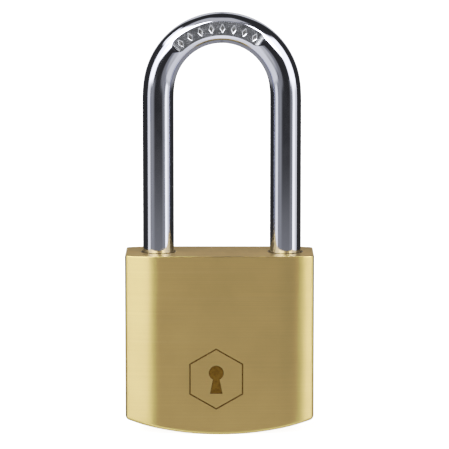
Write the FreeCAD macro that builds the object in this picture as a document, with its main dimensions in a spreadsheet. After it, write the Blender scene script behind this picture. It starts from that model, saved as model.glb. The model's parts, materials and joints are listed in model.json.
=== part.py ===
"""Solid-brass padlock with a long shackle: pin-tumbler plug, cam, two locking bolts.

Row frame in mm: +Z along the shackle, front face towards -Y, origin at the middle
of the footprint and level with the lowest point of the curved underside.
The lock is closed, with the plug turned to its unlocked end so the bolts are drawn in.
"""
import FreeCAD, Part
import math
import os
import Sketcher

os.makedirs("parts", exist_ok=True)
doc = FreeCAD.newDocument("padlock")

SIZES = [
    # body
    ("body_half", 20.0, "half the body width"),
    ("body_thick", 14.5, "body thickness"),
    ("body_top", 38.4, "body height at the middle"),
    ("under_sag", 3.2, "rise of the curved underside at the side faces"),
    ("face_flat", 12.5, "half width of the flat part of the front and back"),
    ("face_arc", 25.0, "radius that rounds the faces towards the sides"),
    ("corner_round", 0.9, "rounding of the four upright corners"),
    ("edge_break", 0.35, "chamfer round the top face"),
    ("mech_x", 0.5, "centre of the mechanism and shackle"),
    # shackle
    ("rod_r", 3.3, "shackle rod radius"),
    ("leg_half", 13.5, "half the distance between leg axes"),
    ("crown_z", 72.7, "height of the crown's centre"),
    ("leg_hole_r", 3.6, "shackle hole radius"),
    ("heel_floor", 4.5, "floor of the heel leg's hole"),
    ("heel_tip", 12.0, "lower end of the heel leg"),
    ("toe_floor", 27.2, "floor of the toe leg's hole"),
    ("toe_tip", 28.2, "lower end of the toe leg"),
    ("leg_chamfer", 0.8, "chamfer on both leg ends"),
    ("lift", 11.0, "travel of the shackle from closed to open"),
    ("facet_depth", 0.35, "depth of the pressed flat on the crown"),
    ("facet_half", 2.4, "half width of the pressed flat"),
    ("facet_start", 48.0, "angle of the flat's toe-side end above level"),
    ("facet_end", 141.0, "angle of the flat's heel-side end"),
    ("mark_depth", 0.12, "depth of the stamped marks"),
    ("mark_half_tall", 1.0, "half height of a stamped mark"),
    ("mark_half_wide", 0.55, "half width of a stamped mark"),
    ("mark_first", 40.0, "angle of the first mark, left of the crown's top"),
    ("mark_span", 71.0, "angle from the first mark to the last"),
    ("mark_count", 8, "number of stamped marks"),
    # locking bolts
    ("bolt_z", 32.8, "height of the bolts' axis"),
    ("bolt_r", 2.15, "bolt radius"),
    ("bolt_bore_r", 2.2, "cross bore radius"),
    ("bolt_tip", 9.95, "bolt tip from the mechanism's centre, drawn in"),
    ("bolt_step", 5.0, "where the full round of the bolt begins"),
    ("bolt_tail", 2.78, "length of the half-round tail past the centre"),
    ("bolt_travel", 1.8, "travel of each bolt"),
    ("bolt_split", 0.1, "half the gap between the two tails"),
    ("bolt_bevel", 0.45, "bevel on the bolt tip"),
    ("notch_depth", 1.7, "depth of the bolt notches in the legs"),
    ("notch_half", 2.35, "half height of the bolt notches"),
    ("cam_clear", 0.08, "clearance between crank pin and bolt hook"),
    ("slam_room", 1.75, "room for a bolt to be pushed in past its crank pin"),
    ("bridge_rise", 0.4, "underside of the bridge over the crank pins"),
    # cam
    ("cam_r", 4.4, "cam disc radius"),
    ("cam_bore_r", 4.5, "cam chamber radius"),
    ("cam_low", 27.4, "underside of the cam disc"),
    ("cam_high", 29.8, "top of the cam disc"),
    ("cam_roof", 30.0, "roof of the cam chamber"),
    ("crank_r", 0.6, "crank pin radius"),
    ("crank_top", 33.0, "top of the crank pins"),
    ("crank_bore_r", 2.1, "opening for the crank pins under the bolts"),
    ("tongue_half", 0.75, "half thickness of the driving tongue"),
    ("tongue_long", 2.6, "half length of the driving tongue"),
    ("tongue_deep", 1.3, "height of the driving tongue"),
    # plug
    ("plug_r", 5.0, "plug radius"),
    ("plug_bore_r", 5.05, "plug bore radius"),
    ("plug_low", 0.35, "plug face above the underside"),
    ("plug_high", 27.0, "top of the plug"),
    ("plug_bore_high", 27.2, "top of the plug bore"),
    ("plug_slot_deep", 1.5, "depth of the tongue slot"),
    ("slot_clear", 0.06, "clearance round the tongue"),
    ("key_half", 0.8, "half width of the keyway"),
    ("key_low", 3.9, "keyway reach away from the pins"),
    ("key_high", 3.4, "keyway reach towards the pins"),
    ("key_ward", 0.75, "sideways step of the ward on the toe side of the keyway"),
    ("key_bulge", 0.45, "sideways step of the groove on the heel side of the keyway"),
    ("ward_low", -1.6, "near end of the ward from the plug axis"),
    ("ward_high", 0.8, "far end of the ward"),
    ("bulge_low", -0.7, "near end of the groove from the plug axis"),
    ("bulge_high", 1.9, "far end of the groove"),
    ("ward_ramp", 0.55, "slope at the ends of ward and groove"),
    ("key_deep", 23.1, "depth of the keyway"),
    ("groove_z", 24.9, "height of the plug's retaining groove"),
    ("groove_half", 0.92, "half height of the retaining groove"),
    ("groove_neck", 4.1, "radius left in the retaining groove"),
    # pin stacks
    ("pin_r", 1.2, "pin radius"),
    ("pin_bore_r", 1.25, "pin chamber radius"),
    ("first_pin_z", 6.5, "height of the lowest pin stack"),
    ("pin_pitch", 3.6, "distance between pin stacks"),
    ("pin_count", 5, "number of pin stacks"),
    ("key_pin_top", 4.82, "outer end of a key pin from the plug axis"),
    ("key_pin_1_long", 3.9, "length of key pin 1"),
    ("key_pin_2_long", 3.1, "length of key pin 2"),
    ("key_pin_3_long", 3.5, "length of key pin 3"),
    ("key_pin_4_long", 2.8, "length of key pin 4"),
    ("key_pin_5_long", 3.7, "length of key pin 5"),
    ("chamber_floor", -0.8, "floor of a key pin chamber from the plug axis"),
    ("driver_low", 5.07, "inner end of a driver pin from the plug axis"),
    ("driver_long", 4.2, "length of a driver pin"),
    ("pin_spring_r", 0.95, "mean radius of a pin spring"),
    ("pin_wire_r", 0.14, "wire radius of a pin spring"),
    ("stopper_r", 1.48, "chamber plug radius"),
    ("stopper_bore_r", 1.5, "counterbore radius for the chamber plugs"),
    ("stopper_long", 1.9, "depth of the counterbore"),
    # retaining pins and the remaining springs
    ("plug_pin_r", 0.8, "plug retaining pin radius"),
    ("plug_pin_tip", 4.4, "inner end of the plug retaining pin from the plug axis"),
    ("heel_pin_r", 1.0, "shackle retaining pin radius"),
    ("heel_pin_z", 26.8, "height of the shackle retaining pin"),
    ("heel_pin_tip", -15.35, "inner end of the shackle retaining pin"),
    ("heel_flat_depth", 1.15, "depth of the flat and the groove on the heel leg"),
    ("heel_groove_half", 1.3, "half height of the groove at the heel"),
    ("heel_flat_top", 28.2, "top of the flat on the heel leg"),
    ("fit_gap", 0.02, "gap round pressed pins"),
    ("spring_r", 2.45, "mean radius of the shackle spring"),
    ("wire_r", 0.4, "wire radius of the shackle spring"),
    ("bolt_spring_r", 0.52, "mean radius of a bolt spring"),
    ("bolt_wire_r", 0.12, "wire radius of a bolt spring"),
    ("bolt_spring_y", 1.08, "offset of a bolt spring from the bolts' axis"),
    ("bolt_pocket_r", 0.75, "radius of the spring pocket in a bolt"),
    ("bolt_pocket_deep", 2.4, "depth of the spring pocket in a bolt"),
    # engraved mark on the front
    ("badge_x", -0.7, "middle of the engraved mark"),
    ("badge_z", 12.1, "height of the engraved mark"),
    ("badge_r", 6.6, "outer radius of the engraved hexagon"),
    ("badge_line", 0.34, "line width of the engraved mark"),
    ("badge_depth", 0.15, "depth of the engraved mark"),
]

sheet = doc.addObject("Spreadsheet::Sheet", "Sizes")
for row, (alias, number, meaning) in enumerate(SIZES, 1):
    sheet.set("A%d" % row, meaning)
    sheet.set("B%d" % row, str(number))
    sheet.setAlias("B%d" % row, alias)
doc.recompute()

ALIASES = sorted((alias for alias, _, _ in SIZES), key=len, reverse=True)


def bound(expression):
    """Turn bare sheet names into references to the sheet."""
    words = []
    word = ""
    for letter in str(expression) + " ":
        if letter.isalnum() or letter in "_.":
            word += letter
            continue
        words.append("Sizes." + word if word in ALIASES else word)
        words.append(letter)
        word = ""
    return "".join(words).strip()


def number(expression):
    """Present value of an expression over the sheet."""
    found = sheet.evalExpression(bound(expression))
    return float(getattr(found, "Value", found))


def origin_part(body, role):
    return next(part for part in body.Origin.OriginFeatures if part.Role == role)


def new_body(label, place=None, turn=None):
    """An empty body; place holds x, y, z expressions and turn an axis with an angle."""
    body = doc.addObject("PartDesign::Body", label)
    body.Label = label
    if turn:
        axis, angle = turn
        rotation = FreeCAD.Rotation(FreeCAD.Vector(*axis), angle)
        body.Placement = FreeCAD.Placement(FreeCAD.Vector(), rotation)
    if place:
        for letter, expression in zip("xyz", place):
            body.setExpression("Placement.Base." + letter, bound(expression))
    return body


def new_sketch(body, name, role="XY_Plane", offset="0"):
    """A sketch on one of the body's own origin planes, moved along that plane's normal."""
    sketch = body.newObject("Sketcher::SketchObject", name)
    sketch.AttachmentSupport = [(origin_part(body, role), "")]
    sketch.MapMode = "FlatFace"
    sketch.setExpression("AttachmentOffset.Base.z", bound(offset))
    return sketch


def hold(sketch, curve, point, x, y):
    """Fix one point of a curve at sheet-driven coordinates."""
    for kind, expression in (("DistanceX", x), ("DistanceY", y)):
        rule = Sketcher.Constraint(kind, -1, 1, curve, point, number(expression))
        index = sketch.addConstraint(rule)
        sketch.setExpression("Constraints[%d]" % index, bound(expression))


def add_circle(sketch, x, y, radius):
    centre = FreeCAD.Vector(number(x), number(y), 0)
    curve = sketch.addGeometry(Part.Circle(centre, FreeCAD.Vector(0, 0, 1), number(radius)), False)
    hold(sketch, curve, 3, x, y)
    index = sketch.addConstraint(Sketcher.Constraint("Radius", curve, number(radius)))
    sketch.setExpression("Constraints[%d]" % index, bound(radius))
    return curve


def add_polygon(sketch, corners):
    """Closed outline whose corners are pairs of expressions."""
    points = [FreeCAD.Vector(number(x), number(y), 0) for x, y in corners]
    lines = []
    for start, end in zip(points, points[1:] + points[:1]):
        lines.append(sketch.addGeometry(Part.LineSegment(start, end), False))
    for this, following in zip(lines, lines[1:] + lines[:1]):
        sketch.addConstraint(Sketcher.Constraint("Coincident", this, 2, following, 1))
    for line, (x, y) in zip(lines, corners):
        hold(sketch, line, 1, x, y)
    return lines


def add_box(sketch, low_x, high_x, low_y, high_y):
    return add_polygon(sketch, [(low_x, low_y), (high_x, low_y), (high_x, high_y), (low_x, high_y)])


def volume(body):
    return body.Tip.Shape.Volume if body.Tip else 0.0


def feature(body, kind, name, sketch, length=None, back=False, symmetric=False):
    """Pad or pocket; the body's volume must change the way the kind says."""
    before = volume(body)
    made = body.newObject("PartDesign::" + kind, name)
    made.Profile = sketch
    if symmetric:
        made.SideType = "Symmetric"
    made.Reversed = back
    made.setExpression("Length", bound(length))
    body.Tip = made
    doc.recompute()
    grew = volume(body) > before + 1e-6
    shrank = volume(body) < before - 1e-6
    if (kind == "Pad" and not grew) or (kind == "Pocket" and not shrank):
        raise RuntimeError("%s of %s went the wrong way" % (name, body.Label))
    return made


def groove(body, name, sketch, axis):
    before = volume(body)
    made = body.newObject("PartDesign::Groove", name)
    made.Profile = sketch
    made.ReferenceAxis = (axis, [""])
    made.Angle = 360
    body.Tip = made
    doc.recompute()
    if volume(body) >= before - 1e-6:
        raise RuntimeError("%s of %s cut nothing" % (name, body.Label))
    return made


def dress(body, kind, name, size, wanted):
    """Chamfer or fillet the edges of the tip for which wanted(edge) is true."""
    base = body.Tip
    edges = ["Edge%d" % n for n, edge in enumerate(base.Shape.Edges, 1) if wanted(edge)]
    if not edges:
        raise RuntimeError("%s of %s found no edge" % (name, body.Label))
    made = body.newObject("PartDesign::" + kind, name)
    made.Base = (base, edges)
    made.setExpression("Size" if kind == "Chamfer" else "Radius", bound(size))
    body.Tip = made
    doc.recompute()
    return made


def chamfer(body, name, size, wanted):
    return dress(body, "Chamfer", name, size, wanted)


def repeat_up(body, name, original, count, pitch):
    """Linear pattern of a feature along +Z."""
    made = body.newObject("PartDesign::LinearPattern", name)
    made.Originals = [original]
    made.Direction = (origin_part(body, "Z_Axis"), [""])
    made.setExpression("Length", bound("%s * (%s - 1)" % (pitch, count)))
    made.setExpression("Occurrences", bound(count))
    body.Tip = made
    doc.recompute()
    return made


def circle_at(edge, z, radius):
    """True for a circular edge of this radius lying level at height z."""
    curve = edge.Curve
    if not isinstance(curve, Part.Circle) or abs(curve.Radius - radius) > 1e-4:
        return False
    return abs(curve.Axis.z) > 0.999 and abs(curve.Center.z - z) < 1e-4


def round_end(body, name, size, z, radius):
    chamfer(body, name, size, lambda edge: circle_at(edge, z, radius))


# ---------------------------------------------------------------- lock body


def add_section(sketch):
    """Flat front and back, arcs that fall away towards the sides, flat side faces."""
    half = number("body_half")
    flat = number("face_flat")
    deep = number("body_thick") / 2
    bend = number("face_arc")
    drop = bend - (bend ** 2 - (half - flat) ** 2) ** 0.5
    side = deep - drop
    up = FreeCAD.Vector(0, 0, 1)

    def arc(sx, sy):
        centre = FreeCAD.Vector(sx * flat, sy * (deep - bend), 0)
        ends = [FreeCAD.Vector(sx * flat, sy * deep, 0), FreeCAD.Vector(sx * half, sy * side, 0)]
        angles = [(end - centre).getAngle(FreeCAD.Vector(1, 0, 0)) * (1 if sy > 0 else -1) for end in ends]
        low, high = min(angles), max(angles)
        return Part.ArcOfCircle(Part.Circle(centre, up, bend), low, high)

    fronts = {}
    for sy in (-1, 1):
        start = FreeCAD.Vector(-flat, sy * deep, 0)
        end = FreeCAD.Vector(flat, sy * deep, 0)
        fronts[sy] = sketch.addGeometry(Part.LineSegment(start, end), False)
        y = "body_thick / 2" if sy > 0 else "-body_thick / 2"
        hold(sketch, fronts[sy], 1, "-face_flat", y)
        hold(sketch, fronts[sy], 2, "face_flat", y)
    ends = {}
    for sx in (-1, 1):
        for sy in (-1, 1):
            curve = sketch.addGeometry(arc(sx, sy), False)
            inner = 2 if sx * sy > 0 else 1
            outer = 3 - inner
            front_end = 2 if sx > 0 else 1
            sketch.addConstraint(Sketcher.Constraint("Tangent", curve, inner, fronts[sy], front_end))
            index = sketch.addConstraint(Sketcher.Constraint("Radius", curve, bend))
            sketch.setExpression("Constraints[%d]" % index, bound("face_arc"))
            index = sketch.addConstraint(Sketcher.Constraint("DistanceX", -1, 1, curve, outer, sx * half))
            sketch.setExpression("Constraints[%d]" % index, bound("body_half" if sx > 0 else "-body_half"))
            ends[sx, sy] = (curve, outer)
    for sx in (-1, 1):
        start = FreeCAD.Vector(sx * half, -side, 0)
        end = FreeCAD.Vector(sx * half, side, 0)
        line = sketch.addGeometry(Part.LineSegment(start, end), False)
        sketch.addConstraint(Sketcher.Constraint("Coincident", line, 1, *ends[sx, -1]))
        sketch.addConstraint(Sketcher.Constraint("Coincident", line, 2, *ends[sx, 1]))


def add_underside(sketch):
    """Everything below the arc of the curved underside."""
    radius = "(body_half ^ 2 + under_sag ^ 2) / (2 * under_sag)"
    centre = FreeCAD.Vector(0, number(radius), 0)
    reach = number("body_half") + 1
    rise = number(radius) - (number(radius) ** 2 - reach ** 2) ** 0.5
    circle = Part.Circle(centre, FreeCAD.Vector(0, 0, 1), number(radius))
    left = FreeCAD.Vector(-reach, rise, 0)
    right = FreeCAD.Vector(reach, rise, 0)
    ends = [circle.parameter(point) for point in (left, right)]
    arc = sketch.addGeometry(Part.ArcOfCircle(circle, *ends), False)
    corners = [right, FreeCAD.Vector(reach, -1, 0), FreeCAD.Vector(-reach, -1, 0), left]
    lines = [sketch.addGeometry(Part.LineSegment(a, b), False) for a, b in zip(corners, corners[1:])]
    hold(sketch, arc, 3, "0", radius)
    index = sketch.addConstraint(Sketcher.Constraint("Radius", arc, number(radius)))
    sketch.setExpression("Constraints[%d]" % index, bound(radius))
    sketch.addConstraint(Sketcher.Constraint("Coincident", arc, 2, lines[0], 1))
    sketch.addConstraint(Sketcher.Constraint("Coincident", lines[0], 2, lines[1], 1))
    sketch.addConstraint(Sketcher.Constraint("Coincident", lines[1], 2, lines[2], 1))
    sketch.addConstraint(Sketcher.Constraint("Coincident", lines[2], 2, arc, 1))
    sketch.addConstraint(Sketcher.Constraint("Vertical", lines[0]))
    sketch.addConstraint(Sketcher.Constraint("Vertical", lines[2]))
    hold(sketch, lines[1], 1, "body_half + 1", "-1")
    hold(sketch, lines[1], 2, "-body_half - 1", "-1")


def bore_down(body, name, x, radius, floor):
    sketch = new_sketch(body, name + "_sketch", "XY_Plane", "body_top")
    add_circle(sketch, x, "0", radius)
    return feature(body, "Pocket", name, sketch, "body_top - " + floor)


def bore_up(body, name, radius, roof, floor="-1"):
    sketch = new_sketch(body, name + "_sketch", "XY_Plane", floor)
    add_circle(sketch, "mech_x", "0", radius)
    return feature(body, "Pocket", name, sketch, "%s - (%s)" % (roof, floor), back=True)


def bore_in(body, name, z, radius, reach):
    """A hole along X from the toe-side face inward until x = reach."""
    sketch = new_sketch(body, name + "_sketch", "YZ_Plane", "body_half + 1")
    add_circle(sketch, "0", z, radius)
    return feature(body, "Pocket", name, sketch, "body_half + 1 - (%s)" % reach)


def badge_corners(radius):
    """Corners of a hexagon standing on a point."""
    wide = "(%s) * 0.8660254" % radius
    tall = "(%s) * 0.5" % radius
    full = "(%s)" % radius
    steps = [("0", full), ("-" + wide, tall), ("-" + wide, "-" + tall), ("0", "-" + full),
             (wide, "-" + tall), (wide, tall)]
    return [("badge_x + (%s)" % x, "badge_z + (%s)" % z) for x, z in steps]


def add_badge(body):
    """Hexagon line with a keyhole in it, cut into the front face."""
    sketch = new_sketch(body, "badge_sketch", "XZ_Plane", "body_thick / 2")
    add_polygon(sketch, badge_corners("badge_r"))
    add_polygon(sketch, badge_corners("badge_r - badge_line"))
    feature(body, "Pocket", "badge_line_cut", sketch, "badge_depth")
    head = new_sketch(body, "keyhole_head_sketch", "XZ_Plane", "body_thick / 2")
    add_circle(head, "badge_x", "badge_z + badge_r * 0.2", "badge_r * 0.24")
    feature(body, "Pocket", "keyhole_head_cut", head, "badge_depth")
    skirt = new_sketch(body, "keyhole_skirt_sketch", "XZ_Plane", "body_thick / 2")
    add_polygon(skirt, [
        ("badge_x - badge_r * 0.11", "badge_z + badge_r * 0.1"),
        ("badge_x - badge_r * 0.2", "badge_z - badge_r * 0.48"),
        ("badge_x + badge_r * 0.2", "badge_z - badge_r * 0.48"),
        ("badge_x + badge_r * 0.11", "badge_z + badge_r * 0.1"),
    ])
    feature(body, "Pocket", "keyhole_skirt_cut", skirt, "badge_depth")


def make_lock_body():
    body = new_body("body")
    section = new_sketch(body, "section")
    add_section(section)
    feature(body, "Pad", "block", section, "body_top")
    side = number("body_half")
    dress(body, "Fillet", "corner_rounding", "corner_round",
          lambda edge: all(abs(abs(vertex.X) - side) < 1e-5 for vertex in edge.Vertexes)
          and abs(edge.CenterOfMass.z - number("body_top") / 2) < 1e-4)
    below = new_sketch(body, "underside", "XZ_Plane")
    add_underside(below)
    feature(body, "Pocket", "underside_cut", below, "body_thick + 2", symmetric=True)
    top = number("body_top")
    chamfer(body, "top_edge", "edge_break",
            lambda edge: all(abs(vertex.Z - top) < 1e-5 for vertex in edge.Vertexes))
    bore_down(body, "toe_hole", "mech_x + leg_half", "leg_hole_r", "toe_floor")
    bore_down(body, "heel_hole", "mech_x - leg_half", "leg_hole_r", "heel_floor")
    bore_up(body, "plug_bore", "plug_bore_r", "plug_bore_high")
    bore_up(body, "cam_bore", "cam_bore_r", "cam_roof", "plug_bore_high - 1")
    bore_up(body, "crank_opening", "crank_bore_r", "bolt_z", "cam_roof - 1")
    bore_in(body, "bolt_bore", "bolt_z", "bolt_bore_r", "mech_x - bolt_tip - 1.2")
    chamber = bore_in(body, "pin_chamber", "first_pin_z", "pin_bore_r", "mech_x + plug_r - 1")
    repeat_up(body, "pin_chambers", chamber, "pin_count", "pin_pitch")
    seat = bore_in(body, "stopper_seat", "first_pin_z", "stopper_bore_r", "body_half - stopper_long")
    repeat_up(body, "stopper_seats", seat, "pin_count", "pin_pitch")
    bore_in(body, "plug_pin_hole", "groove_z", "plug_pin_r + fit_gap", "mech_x + plug_r - 1")
    heel = new_sketch(body, "heel_pin_sketch", "YZ_Plane", "-body_half - 1")
    add_circle(heel, "0", "heel_pin_z", "heel_pin_r + fit_gap")
    feature(body, "Pocket", "heel_pin_hole", heel, "mech_x - leg_half + body_half + 1", back=True)
    for name, x in (("toe_mouth", "mech_x + leg_half"), ("heel_mouth", "mech_x - leg_half")):
        chamfer(body, name, "0.2", lambda edge: circle_at(edge, top, number("leg_hole_r"))
                and abs(edge.Curve.Center.x - number(x)) < 1e-4)
    add_badge(body)
    return body


# ---------------------------------------------------------------- shackle


def add_shackle_path(sketch):
    """Up the heel leg, over the crown, down the toe leg."""
    left = number("mech_x - leg_half")
    right = number("mech_x + leg_half")
    crown = number("crown_z")
    centre = FreeCAD.Vector(number("mech_x"), crown, 0)
    corners = [FreeCAD.Vector(left, number("heel_tip"), 0), FreeCAD.Vector(left, crown, 0)]
    heel = sketch.addGeometry(Part.LineSegment(*corners), False)
    circle = Part.Circle(centre, FreeCAD.Vector(0, 0, 1), number("leg_half"))
    arc = sketch.addGeometry(Part.ArcOfCircle(circle, 0, math.pi), False)
    corners = [FreeCAD.Vector(right, crown, 0), FreeCAD.Vector(right, number("toe_tip"), 0)]
    toe = sketch.addGeometry(Part.LineSegment(*corners), False)
    hold(sketch, heel, 1, "mech_x - leg_half", "heel_tip")
    hold(sketch, heel, 2, "mech_x - leg_half", "crown_z")
    hold(sketch, toe, 1, "mech_x + leg_half", "crown_z")
    hold(sketch, toe, 2, "mech_x + leg_half", "toe_tip")
    sketch.addConstraint(Sketcher.Constraint("Coincident", arc, 2, heel, 2))
    sketch.addConstraint(Sketcher.Constraint("Coincident", arc, 1, toe, 1))
    index = sketch.addConstraint(Sketcher.Constraint("DistanceY", -1, 1, arc, 3, crown))
    sketch.setExpression("Constraints[%d]" % index, bound("crown_z"))


def cut_box(body, name, low_x, high_x, low_z, high_z, depth="2 * rod_r + 1"):
    """A slot cut right across the rod, seen from the front."""
    sketch = new_sketch(body, name + "_sketch", "XZ_Plane")
    add_box(sketch, low_x, high_x, low_z, high_z)
    return feature(body, "Pocket", name, sketch, depth, symmetric=True)


def ring_groove(body, name, middle, half, deep, axis):
    """Groove all round the heel leg."""
    outer = "mech_x - leg_half - rod_r - 1"
    inner = "mech_x - leg_half - rod_r + %s" % deep
    sketch = new_sketch(body, name + "_sketch", "XZ_Plane")
    add_box(sketch, outer, inner, "%s - %s" % (middle, half), "%s + %s" % (middle, half))
    return groove(body, name, sketch, axis)


def make_shackle():
    body = new_body("shackle")
    end = new_sketch(body, "rod_section", "XY_Plane", "heel_tip")
    add_circle(end, "mech_x - leg_half", "0", "rod_r")
    path = new_sketch(body, "rod_path", "XZ_Plane")
    add_shackle_path(path)
    rod = body.newObject("PartDesign::AdditivePipe", "rod")
    rod.Profile = end
    rod.Spine = path
    rod.Mode = "Standard"
    body.Tip = rod
    doc.recompute()
    for name, z in (("heel_end", "heel_tip"), ("toe_end", "toe_tip")):
        round_end(body, name, "leg_chamfer", number(z), number("rod_r"))
    low, high = "bolt_z - notch_half", "bolt_z + notch_half"
    toe_inner = "mech_x + leg_half - rod_r"
    heel_inner = "mech_x - leg_half + rod_r"
    cut_box(body, "toe_notch", toe_inner + " - 1", toe_inner + " + notch_depth", low, high)
    cut_box(body, "heel_notch", heel_inner + " - notch_depth", heel_inner + " + 1", low, high)
    outer = "mech_x - leg_half - rod_r"
    cut_box(body, "heel_flat", outer + " - 1", outer + " + heel_flat_depth",
            "heel_pin_z - lift - heel_groove_half", "heel_flat_top")
    heel_axis = body.newObject("PartDesign::Line", "heel_axis")
    heel_axis.setExpression("Placement.Base.x", bound("mech_x - leg_half"))
    ring_groove(body, "heel_groove", "heel_pin_z - lift", "heel_groove_half", "heel_flat_depth",
                heel_axis)
    ring_groove(body, "open_groove", "bolt_z - lift", "notch_half", "notch_depth", heel_axis)
    facet = new_sketch(body, "facet_sketch", "XZ_Plane", "rod_r - facet_depth")
    add_sector(facet, "leg_half - facet_half", "leg_half + facet_half", "facet_start", "facet_end")
    feature(body, "Pocket", "facet", facet, "facet_depth + 1", back=True)
    mark = new_sketch(body, "mark_sketch", "XZ_Plane", "rod_r - facet_depth")
    add_lozenge(mark, "90 + mark_first")
    stamp = feature(body, "Pocket", "mark", mark, "mark_depth")
    crown_axis = body.newObject("PartDesign::Line", "crown_axis")
    backward = FreeCAD.Rotation(FreeCAD.Vector(1, 0, 0), -90)
    crown_axis.Placement = FreeCAD.Placement(FreeCAD.Vector(), backward)
    crown_axis.setExpression("Placement.Base.x", bound("mech_x"))
    crown_axis.setExpression("Placement.Base.z", bound("crown_z"))
    row = body.newObject("PartDesign::PolarPattern", "mark_row")
    row.Originals = [stamp]
    row.Axis = (crown_axis, [""])
    row.setExpression("Angle", bound("mark_span"))
    row.setExpression("Occurrences", bound("mark_count"))
    body.Tip = row
    doc.recompute()
    return body


def add_sector(sketch, inner, outer, start, end):
    """Part of a ring round the crown's centre, between two angles in degrees."""
    centre = FreeCAD.Vector(number("mech_x"), number("crown_z"), 0)
    up = FreeCAD.Vector(0, 0, 1)
    span = [math.radians(number(angle)) for angle in (start, end)]
    arcs = []
    for radius in (inner, outer):
        circle = Part.Circle(centre, up, number(radius))
        arc = sketch.addGeometry(Part.ArcOfCircle(circle, *span), False)
        hold(sketch, arc, 3, "mech_x", "crown_z")
        index = sketch.addConstraint(Sketcher.Constraint("Radius", arc, number(radius)))
        sketch.setExpression("Constraints[%d]" % index, bound(radius))
        arcs.append(arc)
    for point, angle in ((1, start), (2, end)):
        ends = [FreeCAD.Vector(*sketch.getPoint(arc, point)) for arc in arcs]
        line = sketch.addGeometry(Part.LineSegment(*ends), False)
        sketch.addConstraint(Sketcher.Constraint("Coincident", line, 1, arcs[0], point))
        sketch.addConstraint(Sketcher.Constraint("Coincident", line, 2, arcs[1], point))
        for arc, radius in ((arcs[0], inner), (arcs[1], outer)):
            across = "mech_x + (%s) * cos(%s)" % (radius, angle)
            rule = Sketcher.Constraint("DistanceX", -1, 1, arc, point, number(across))
            index = sketch.addConstraint(rule)
            sketch.setExpression("Constraints[%d]" % index, bound(across))


def add_lozenge(sketch, angle):
    """Diamond whose long axis points at the crown's centre."""
    steps = [("mark_half_tall", "0"), ("0", "mark_half_wide"),
             ("-mark_half_tall", "0"), ("0", "-mark_half_wide")]
    corners = []
    for along, across in steps:
        x = "mech_x + (leg_half + %s) * cos(%s) - (%s) * sin(%s)" % (along, angle, across, angle)
        z = "crown_z + (leg_half + %s) * sin(%s) + (%s) * cos(%s)" % (along, angle, across, angle)
        corners.append((x, z))
    add_polygon(sketch, corners)


# ---------------------------------------------------------------- plug and cam


def make_plug():
    """Modelled about its own axis with the pin chambers towards +Y."""
    body = new_body("plug", ("mech_x", "0", "plug_low"))
    disc = new_sketch(body, "plug_section")
    add_circle(disc, "0", "0", "plug_r")
    feature(body, "Pad", "plug_round", disc, "plug_high - plug_low")
    keyway = new_sketch(body, "keyway_sketch")
    ward = "key_half - key_ward"
    bulge = "-key_half - key_bulge"
    add_polygon(keyway, [
        ("-key_half", "-key_low"), ("key_half", "-key_low"),
        ("key_half", "ward_low"), (ward, "ward_low + ward_ramp"),
        (ward, "ward_high - ward_ramp"), ("key_half", "ward_high"),
        ("key_half", "key_high"), ("-key_half", "key_high"),
        ("-key_half", "bulge_high"), (bulge, "bulge_high - ward_ramp"),
        (bulge, "bulge_low + ward_ramp"), ("-key_half", "bulge_low"),
    ])
    feature(body, "Pocket", "keyway", keyway, "key_deep", back=True)
    chamber = new_sketch(body, "chamber_sketch", "XZ_Plane", "-plug_r - 1")
    add_circle(chamber, "0", "first_pin_z - plug_low", "pin_bore_r")
    deep = "plug_r + 1 - chamber_floor"
    drilled = feature(body, "Pocket", "key_pin_chamber", chamber, deep, back=True)
    repeat_up(body, "key_pin_chambers", drilled, "pin_count", "pin_pitch")
    ring = new_sketch(body, "retaining_sketch", "XZ_Plane")
    middle = "groove_z - plug_low"
    add_box(ring, "groove_neck", "plug_r + 1", middle + " - groove_half", middle + " + groove_half")
    groove(body, "retaining_groove", ring, origin_part(body, "Z_Axis"))
    slot = new_sketch(body, "slot_sketch", "XY_Plane", "plug_high - plug_low")
    add_box(slot, "-tongue_long - slot_clear", "tongue_long + slot_clear",
            "-tongue_half - slot_clear", "tongue_half + slot_clear")
    feature(body, "Pocket", "tongue_slot", slot, "plug_slot_deep")
    round_end(body, "face_edge", "0.25", 0.0, number("plug_r"))
    return body


def make_cam():
    body = new_body("cam", ("mech_x", "0", "cam_low"))
    disc = new_sketch(body, "disc_sketch")
    add_circle(disc, "0", "0", "cam_r")
    feature(body, "Pad", "disc", disc, "cam_high - cam_low")
    tongue = new_sketch(body, "tongue_sketch")
    add_box(tongue, "-tongue_long", "tongue_long", "-tongue_half", "tongue_half")
    feature(body, "Pad", "tongue", tongue, "tongue_deep", back=True)
    for name, x, y in (("crank_toe", "-bolt_travel / 2", "bolt_travel / 2"),
                       ("crank_heel", "bolt_travel / 2", "-bolt_travel / 2")):
        pin = new_sketch(body, name + "_sketch")
        add_circle(pin, x, y, "crank_r")
        feature(body, "Pad", name, pin, "crank_top - cam_low")
    return body


# ---------------------------------------------------------------- bolts


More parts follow.
